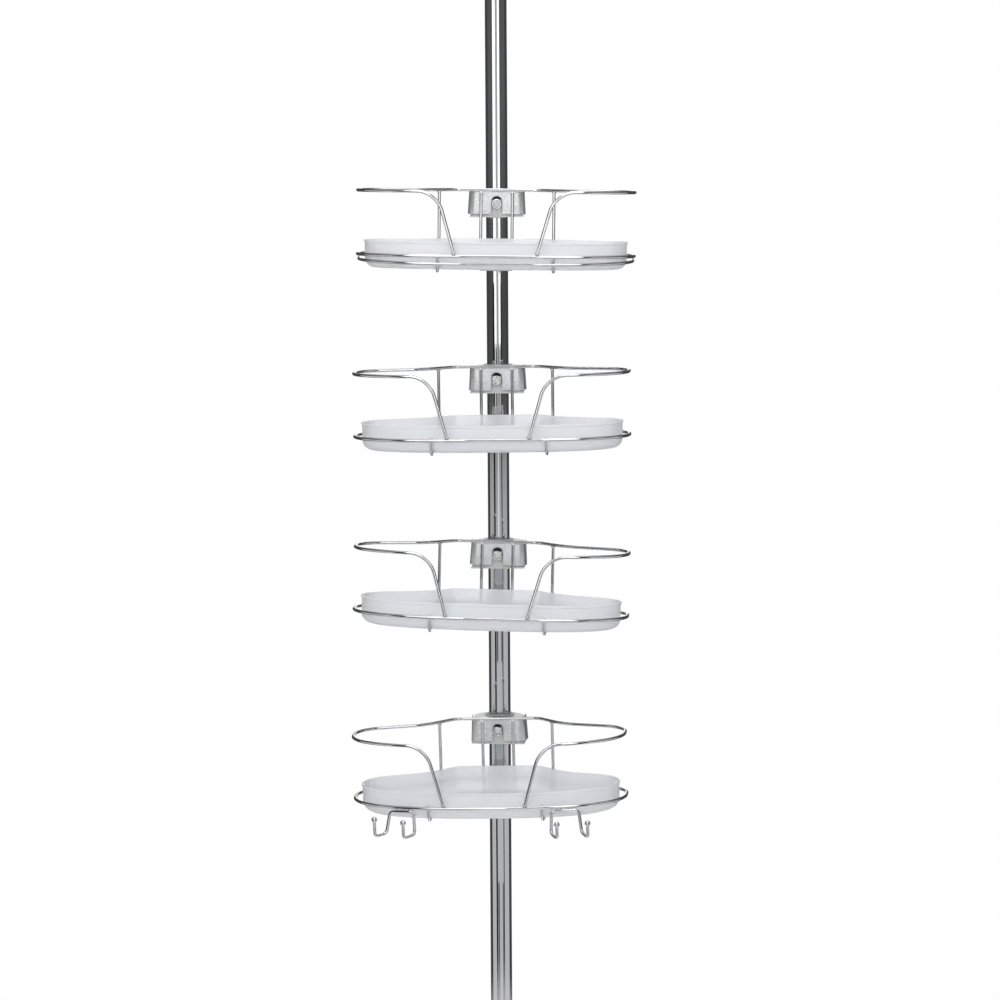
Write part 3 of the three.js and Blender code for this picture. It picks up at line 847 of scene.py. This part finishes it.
# The right half of each outline seen from above: (x, y, how far before the corner its bend starts).
FRONT_HALF = [(45, FRONT_Y, 22), (112, -184, 22), (155.5, -150, 24), (155.5, -88, 26)]
RING_HALF = FRONT_HALF + [(83.9, -61.4, 14), (50.8, -22.9, 8)]
RAIL_HALF = FRONT_HALF[1:] + [(81, -64, 14), (49, -27, 8)]
TRAY_HALF = [(42, -188, 20), (106, -176.5, 22), (147.5, -144, 24), (147.5, -94, 26),
             (78.5, -66, 14), (47.5, -30, 8)]
masters = {}  # the piece that each kind of shelf part is copied from


def both_sides(right):
    """A list of corners on the right, then the same on the left in reverse order."""
    left = [(Vector((-p.x, p.y, p.z)), reach) for p, reach in reversed(right)]
    return right + left


def front_y(x):
    """Where the ring's front runs, x mm to the side of its middle."""
    return FRONT_Y + (x - 45) * FRONT_SLOPE


# %% [markdown]
# ### Wires
# The rail is one wire: it starts on the ring at one front foot, leans back up to a knee, runs
# round the shelf, and comes down at the other foot. The ring is a closed loop round the tray.
# Lighter wires make the uprights; they run down behind, forwards under the tray and up to the
# ring. Resistance welding leaves a small squeezed-out nugget wherever two wires meet.

# %% A weld nugget
def nugget(place, size, seed):
    """A small uneven lump of squeezed-out metal; place and size in mm."""
    clear()
    bpy.ops.mesh.primitive_uv_sphere_add(segments=14, ring_count=9, radius=0.5 * MM)
    bpy.ops.object.mode_set(mode="EDIT")
    pick_all()
    bpy.ops.transform.resize(value=size)
    bpy.ops.transform.vertex_random(offset=0.12 * MM, seed=seed)
    bpy.ops.transform.translate(value=mm(*place))
    return finish_mesh("nugget", 60)


# %% Rail and ring
KNEE, KNEE_REACH, FOOT_X = (65.5, -192.5), 22, 46.5
foot_z = RING_Z + 2 * RAIL_R + GAP
right = [(mm(FOOT_X, FRONT_Y, foot_z), 0), (mm(*KNEE, 0), KNEE_REACH)]
right += [(mm(x, y, 0), reach) for x, y, reach in RAIL_HALF]
rail = bend_wire("rail", both_sides(right), RAIL_R)
feet = [nugget((side * (FOOT_X - 0.3), FRONT_Y, foot_z - 0.6), (5.4, 4.2, 3.4), seed=4 + side)
        for side in (1, -1)]
masters["top_rail"] = weld_together("rail", rail, *feet)

ring_path = both_sides([(mm(x, y, RING_Z), reach) for x, y, reach in RING_HALF])
masters["tray_ring"] = bend_wire("ring", ring_path, RAIL_R, closed=True)

# %% Outer uprights, which run on under the tray and up to the ring in front
OUTER_X, OUTER_Y, FRONT_STUB_Y = 65.7, -46.3, -188.6
floor_z = TRAY_FOOT - GAP - UPRIGHT_R
for side, name in ((-1, "floor_wire_left"), (1, "floor_wire_right")):
    back_x, stub_x = side * OUTER_X, side * (OUTER_X - 1.7)
    path = [(mm(back_x, OUTER_Y, -RAIL_R - GAP), 0), (mm(back_x, OUTER_Y, floor_z), 8),
            (mm(side * (OUTER_X - 1.5), -182, floor_z), 8),
            (mm(stub_x, FRONT_STUB_Y, RING_Z + RAIL_R), 0)]
    upright = bend_wire(name, path, UPRIGHT_R)
    lumps = [nugget((back_x, OUTER_Y, -RAIL_R - 0.6), (5.2, 4.4, 2.6), seed=11),
             nugget((back_x, OUTER_Y - 1.2, RING_Z + 0.4), (4.4, 3.6, 3.2), seed=12),
             nugget((stub_x, FRONT_STUB_Y - 1.4, RING_Z + 1.4), (4.2, 3.2, 3.0), seed=13)]
    masters[name] = weld_together(name, upright, *lumps)

# %% Inner uprights, welded to the plate and joined under the tray
INNER_X, FLOOR_LOOP_Y = 18, -100
inner_y = PLATE_FACE - GAP - UPRIGHT_R
right = [(mm(INNER_X, inner_y, -RAIL_R - GAP), 0), (mm(INNER_X, inner_y, floor_z), 8),
         (mm(INNER_X, FLOOR_LOOP_Y, floor_z), 8)]
inner = bend_wire("inner_wire", both_sides(right), UPRIGHT_R)
lumps = [nugget((side * INNER_X, inner_y - 0.2, -RAIL_R - 0.6), (4.8, 4.0, 2.4), seed=21 + side)
         for side in (1, -1)]
# Where the plate was spot-welded, bright beads stand out on both sides of each upright.
beads = [nugget((side * INNER_X + off, PLATE_FACE - 0.5, z), (2.8, 1.6, 2.6), seed=41)
         for side in (1, -1) for off in (-2.8, 2.8) for z in (-4.2, -15.6)]
inner.data.materials.append(chrome_wire)
for bead in beads:
    bead.data.materials.append(weld_bead)
masters["inner_wire"] = weld_together("inner_wire", inner, *lumps, *beads)

# %% The hoop under the front of the top shelf's ring
HOOP_DROP, HOOP_TILT, HOOP_START, HOOP_INSET = 4.1, 0.047, -100, 1.5
hoop_z = RING_Z - HOOP_DROP
right = [(mm(x - HOOP_INSET, y + HOOP_INSET, hoop_z), reach) for x, y, reach in FRONT_HALF[:3]]
right += [(mm(FRONT_HALF[2][0] - HOOP_INSET, HOOP_START, hoop_z), 0)]
path = both_sides(right)
# The corners start at the front's middle, but an open wire starts at its left end.
hoop = bend_wire("front_hoop", path[len(right):] + path[:len(right)], RAIL_R - 0.1)
hinge = mm(0, HOOP_START, hoop_z)
hoop.data.transform(
    Matrix.Translation(hinge) @ Matrix.Rotation(HOOP_TILT, 4, "X") @ Matrix.Translation(-hinge))
masters["front_hoop"] = hoop

# %% [markdown]
# The lowest shelf carries four hooks, two on each of two wires. Each wire runs under the ring,
# turns down at both ends and forwards into a J. A ball is pressed on every tip so that it does
# not scratch or snag; it narrows into the wire, which a bare sphere would not.

# %% Hooks
# Where each hook leaves the ring, how far its foot stands out, how far its tip goes on outwards
# and forwards, and how high the tip rises. They were bent by hand, so no two are quite alike.
HOOKS = {
    1: [(75.5, -1, 8.5, 21.4, 16), (105.5, 3, 8.5, 21.4, 16)],
    -1: [(80.5, -0.5, 10.7, 17, 17.8), (107.7, 5.2, 11.8, 11, 19.3)],
}
HOOK_DROP, HOOK_BEND, BALL_R = 27, 5, 3.3
hook_z = RING_Z - 2 * RAIL_R - GAP


def hook_path(side, x, away, out, forward, lip):
    y, low_z = front_y(x), hook_z - HOOK_DROP
    foot_x, tip_x = side * (x + away), side * (x + away + out)
    return [(mm(tip_x, y - forward, low_z + lip), 0), (mm(tip_x, y - forward, low_z), HOOK_BEND),
            (mm(foot_x, y, low_z + 1), HOOK_BEND), (mm(side * x, y, hook_z), HOOK_BEND)]


def ball(tip):
    """A pressed-on ball whose underside is drawn down to the wire as a neck."""
    clear()
    bpy.ops.mesh.primitive_uv_sphere_add(segments=24, ring_count=16, radius=BALL_R * MM)
    bpy.ops.object.mode_set(mode="EDIT")
    pick(lambda v: v.co.z < -BALL_R * 0.88 * MM)
    bpy.ops.transform.resize(value=(1.35, 1.35, 1))
    bpy.ops.transform.translate(value=mm(0, 0, -0.9))
    pick_all()
    bpy.ops.transform.translate(value=tip)
    return finish_mesh("ball", 60)


for side, name in ((-1, "hook_wire_left"), (1, "hook_wire_right")):
    near, far = (hook_path(side, *hook) for hook in HOOKS[side])
    wire = bend_wire(name, near + far[::-1], RAIL_R - 0.1)
    lumps = [nugget((side * x, front_y(x), hook_z + 2), (5.4, 3.4, 2.4), seed=31)
             for x in (84, 97)]
    masters[name] = weld_together(name, wire, ball(near[0][0]), ball(far[0][0]), *lumps)
print(len(masters), "kinds of wire")

# %% [markdown]
# ### Hanger plate
# The plate is stamped from 1.7 mm sheet: a flat face, two bent corners and two wings that reach
# back round the clamp block. An arched slot drops over the screw's shank. It starts as the bent
# line of the sheet seen from above, drawn down to its height, widened towards its foot,
# thickened, and cut.

# %% Hanger plate
def widen_foot(foot):
    """Spread the lowest vertices of the mesh being edited, so that it wedges."""
    pick(lambda v: abs(v.co.z - foot * MM) < 1e-5)
    share = 1 + FLARE * (PLATE_TOP - foot) / (PLATE_TOP - BLOCK_FOOT)
    bpy.ops.transform.resize(value=(share, 1, 1), center_override=(0, 0, 0))


right = [(mm(25, PLATE_FACE, PLATE_TOP), 2.2), (mm(30.4, -20, PLATE_TOP), 1.6),
         (mm(32, -4, PLATE_TOP), 0)]
path = both_sides(right)
lay_chain(path[len(right):] + path[:len(right)], steps=5)
pick_all()
extrude(mm(0, 0, PLATE_FOOT - PLATE_TOP))
widen_foot(PLATE_FOOT)
face_outwards()
plate = finish_mesh("hanger_plate")
outward = sum(p.normal.y * p.area for p in plate.data.polygons) < 0
apply_modifier(plate, "SOLIDIFY", thickness=PLATE_T * MM, offset=-1 if outward else 1)
carve(plate, brick((-SLOT_W / 2, PLATE_FACE - 2, PLATE_FOOT - 1),
                   (SLOT_W / 2, PLATE_FACE + 4, SLOT_ARCH)))
carve(plate, pin(SLOT_W / 2, (0, PLATE_FACE - 2, SLOT_ARCH), (0, PLATE_FACE + 4, SLOT_ARCH), 40))
soften(plate, 0.4)
masters["hanger_plate"] = plate

# %% [markdown]
# ### Clamp block, bush, screw and nut
# The moulded block is a wedge that fills the plate, with a lip at its foot that the plate rests
# on. A split rubber bush grips the pole inside it, and a socket-head screw with a square nut
# pulls it tight.

# %% Clamp block
BUSH_R, BUSH_BORE_R, BUSH_FLANGE_R, BUSH_TOP, BUSH_SLIT = 15, 13.1, 17, 1.5, 2
NUT_W, NUT_T, NUT_Y = 10, 3.2, -18.7
WINDOW_W, WINDOW_TOP = 12, -6.6  # opening above the screw, into the slot that the nut drops down
BLOCK_HALF = [(23.6, BLOCK_FACE, 1.2), (27.9, -18.4, 1.6), (29.4, -3, 2), (23, 10, 4),
              (11, 19.5, 4)]
lay_face(both_sides([(mm(x, y, 0), reach) for x, y, reach in BLOCK_HALF]), steps=4)
extrude(mm(0, 0, BLOCK_FOOT - 1))
block = finish_mesh("clamp_block")
edit(block)
widen_foot(BLOCK_FOOT - 1)
face_outwards()
clear()
carve(block, brick((-LIP_HALF, LIP_FACE, BLOCK_FOOT - LIP_H), (LIP_HALF, -3, BLOCK_FOOT)),
      operation="UNION")
pocket = NUT_Y - NUT_T / 2 - GAP
carve(block,
      pin(BUSH_R + GAP, (0, 0, BLOCK_FOOT - LIP_H - 1), (0, 0, 1), 64),
      pin(SHANK_R + GAP, (0, BLOCK_FACE - 3, SCREW_Z), (0, -BUSH_R + 1, SCREW_Z)),
      brick((-WINDOW_W / 2, BLOCK_FACE - 3, SCREW_Z + 4.8), (WINDOW_W / 2, pocket + 1, WINDOW_TOP)),
      brick((-NUT_W / 2 - GAP, pocket, SCREW_Z - NUT_W / 2 - GAP),
            (NUT_W / 2 + GAP, pocket + NUT_T + 2 * GAP, 1)))
soften(block, 0.4)
# Painted shade: the faces inside the nut's slot take the near-black rubber material, so the slot
# shows dark above the screw's head.
PAINTED_SHADE_BOX = ((-6.1, BLOCK_FACE + 0.5, -21.5), (6.1, -15.6, -0.6))  # two corners of the box whose faces get painted shade
block.data.materials.append(grey_moulding)
block.data.materials.append(rubber_and_painted_shade)
for face in block.data.polygons:
    in_painted_shade = all(low < c < high for low, c, high in zip(PAINTED_SHADE_BOX[0], face.center / MM, PAINTED_SHADE_BOX[1]))
    face.material_index = int(in_painted_shade)
masters["clamp_block"] = block

# %% Bush: a turned ring with a flange, slit at the back
bush_foot = BLOCK_FOOT - LIP_H
bush = turn("grip_bush", [
    (BUSH_BORE_R, bush_foot, 0.3), (BUSH_R, bush_foot, 0.3), (BUSH_R, GAP, 0.2),
    (BUSH_FLANGE_R, GAP, 0.3), (BUSH_FLANGE_R, BUSH_TOP, 0.5),
    (BUSH_BORE_R + 0.5, BUSH_TOP, 0.4), (BUSH_BORE_R, BUSH_TOP - 0.5, 0.2)],
    ring=True)
carve(bush, brick((-BUSH_SLIT / 2, 5, bush_foot - 1), (BUSH_SLIT / 2, BUSH_FLANGE_R + 5, 5)))
masters["grip_bush"] = bush

# %% Screw: a turned head with a knurled side and a six-sided socket
HEX_R, HEX_DEEP, KNURLS, KNURL_DEEP = 2.9, 2.6, 30, 0.22
screw = turn("clamp_screw", [
    (0, 1.1, 0), (HEAD_R - 2.2, 1.1, 0.2), (HEAD_R - 1.9, 0, 0.3), (HEAD_R - 0.9, 0, 0.5),
    (HEAD_R - 0.1, 0.7, 0.4), (HEAD_R, 1.4, 0.3),
    (HEAD_R, HEAD_H - 0.5, 0.3), (HEAD_R - 0.5, HEAD_H, 0.3), (SHANK_R, HEAD_H, 0.3),
    (SHANK_R, HEAD_H + 6.2, 0.3), (SHANK_R - 0.8, HEAD_H + 7, 0.2), (0, HEAD_H + 7, 0)],
    steps=KNURLS * 2)
edit(screw)
for i in range(KNURLS):
    a = 2 * math.pi * (2 * i + 1) / (2 * KNURLS)
    spot = Vector((math.cos(a), math.sin(a), 0))
    pick(lambda v: 1.2 * MM < v.co.z < (HEAD_H - 0.3) * MM and v.co.xy.length > (HEAD_R - 0.2) * MM
         and (v.co.xy.to_3d().normalized() - spot).length < 0.02)
    bpy.ops.transform.translate(value=spot * -KNURL_DEEP * MM)
clear()
carve(screw, pin(HEX_R, (0, 0, -1), (0, 0, HEX_DEEP), 6))
# Painted shade: the steep walls inside the head's socket take the dark rubber material.
screw.data.materials.append(bright_zinc)
screw.data.materials.append(rubber_and_painted_shade)
for face in screw.data.polygons:
    steep = abs(face.normal.z) < 0.8 and face.center.xy.length < (HEAD_R - 1.7) * MM
    face.material_index = int(steep and -0.1 * MM < face.center.z < (HEX_DEEP + 0.1) * MM)
lay_down(screw, BLOCK_FACE - GAP - HEAD_H, SCREW_Z)
smooth(screw, 30)
masters["clamp_screw"] = screw

# %% Square nut with a bored thread and chamfered corners
half = NUT_W / 2
nut = brick((-half, NUT_Y - NUT_T / 2, SCREW_Z - half), (half, NUT_Y + NUT_T / 2, SCREW_Z + half))
nut.name = nut.data.name = "clamp_nut"
carve(nut, pin(SHANK_R + GAP, (0, -25, SCREW_Z), (0, -10, SCREW_Z)))
soften(nut, 0.5)
masters["clamp_nut"] = nut

# %% [markdown]
# ### Tray
# The tray is one thin moulding of frosted plastic: a flat floor, a large rounded edge below, an
# upright wall, and a small bead round the rim that stiffens it. Its outline is a face that is
# extruded down to make the wall, then extruded in small steps that are drawn in and lowered along
# a quarter circle. The top is opened and the shell is thickened inwards. Drawing in by scaling
# never folds the tight bends at the back over each other, which an inset would.

# %% Tray
EDGE_STEPS, RIM_BEAD, RIM_BEAD_H, UNDER_BEAD = 7, 1.0, 2.4, 0.5
TRAY_HALF_WIDTH, TRAY_HALF_DEPTH, TRAY_MIDDLE = 147.5, 79, -109
lay_face(both_sides([(mm(x, y, TRAY_TOP), reach) for x, y, reach in TRAY_HALF]), steps=8)


def draw_in(before, after, middle=TRAY_MIDDLE, depth=TRAY_HALF_DEPTH):
    """Scale what is selected so that its edge moves in from one inset to the next, in mm."""
    bpy.ops.transform.resize(
        value=((TRAY_HALF_WIDTH - after) / (TRAY_HALF_WIDTH - before),
               (depth - after) / (depth - before), 1),
        center_override=mm(0, middle, 0))


def down(distance):
    extrude(mm(0, 0, -distance))


# The bead stands out at the front and ends only; at the back it would rub on the screw's head.
at_back = {"middle": TRAY_MIDDLE + TRAY_HALF_DEPTH, "depth": 2 * TRAY_HALF_DEPTH}
draw_in(0, -RIM_BEAD, **at_back)
down(RIM_BEAD_H)
down(UNDER_BEAD)
draw_in(-RIM_BEAD, 0, **at_back)
down(TRAY_TOP - TRAY_FOOT - TRAY_EDGE - RIM_BEAD_H - UNDER_BEAD)
for i in range(EDGE_STEPS):
    here, there = (math.pi / 2 * (i + j) / EDGE_STEPS for j in (0, 1))
    down(TRAY_EDGE * (math.sin(there) - math.sin(here)))
    draw_in(TRAY_EDGE * (1 - math.cos(here)), TRAY_EDGE * (1 - math.cos(there)))
tray = finish_mesh("tray", 40)
edit(tray)
pick(lambda f: abs(f.normal.z) > 0.9 and f.calc_center_median().z > (TRAY_TOP - 1) * MM, "FACE")
bpy.ops.mesh.delete(type="FACE")
face_outwards()
clear()
outward = any(p.normal.z < -0.9 for p in tray.data.polygons)
apply_modifier(tray, "SOLIDIFY", thickness=TRAY_WALL * MM, offset=-1 if outward else 1)
soften(tray, 0.5, segments=2, angle=50)
print("tray:", len(tray.data.polygons), "faces")
masters["tray"] = tray

# %% [markdown]
# ## Four shelves
# Every master is copied to each shelf with its own mesh, moved to its place, and the move is
# applied to the mesh so that the object itself stays at the origin, as the CAD nodes are.

# %% Copy the pieces to the four shelves
SHELVES = [  # rail's height in mm; turn about the pole, sideways lean and forward nod in degrees
    (1065, -0.3, 0.9, 0), (861.5, -3.4, -0.4, 0), (657, -3.9, 1.5, -1.3), (450, -5.8, -1.2, 1)]
LOOKS = {  # material, body, slot
    "clamp_block": (grey_moulding, "clamp", "grey_plastic"),
    "grip_bush": (grip_rubber, "bush", "rubber"),
    "clamp_screw": (bright_zinc, "screw", "zinc"),
    "clamp_nut": (bright_zinc, "clamp", "zinc"),
    "hanger_plate": (satin_plate, "frame", "satin_steel"),
    "tray": (frosted_tray, "tray_body", "frosted_plastic"),
}
ONLY_ON = {"front_hoop": 1, "hook_wire_left": 4, "hook_wire_right": 4}

for number, (height, turned, lean, nod) in enumerate(SHELVES, start=1):
    on_pole = Matrix.Translation(mm(0, 0, height)) @ Matrix.Rotation(math.radians(turned), 4, "Z")
    crooked = (
        Matrix.Translation(mm(0, 0, SCREW_Z)) @ Matrix.Rotation(math.radians(lean), 4, "Y")
        @ Matrix.Rotation(math.radians(nod), 4, "X") @ Matrix.Translation(mm(0, 0, -SCREW_Z)))
    for part, master in masters.items():
        if ONLY_ON.get(part, number) != number:
            continue
        look, body, slot_name = LOOKS.get(part, (chrome_wire, "frame", "chrome"))
        hangs = body in ("frame", "tray_body")
        piece = duplicate(master)
        piece.name = piece.data.name = f"caddy_shelf{number}_{part}"
        piece.matrix_world = on_pole @ crooked if hangs else on_pole
        take(piece)
        bpy.ops.object.transform_apply(location=True, rotation=True, scale=True)
        hand_over(piece, look, f"shelf{number}_{body}", slot_name, f"shelf{number}_{part}")

for master in masters.values():
    bpy.data.objects.remove(master)
print(len(masters), "kinds of shelf part on", len(SHELVES), "shelves")
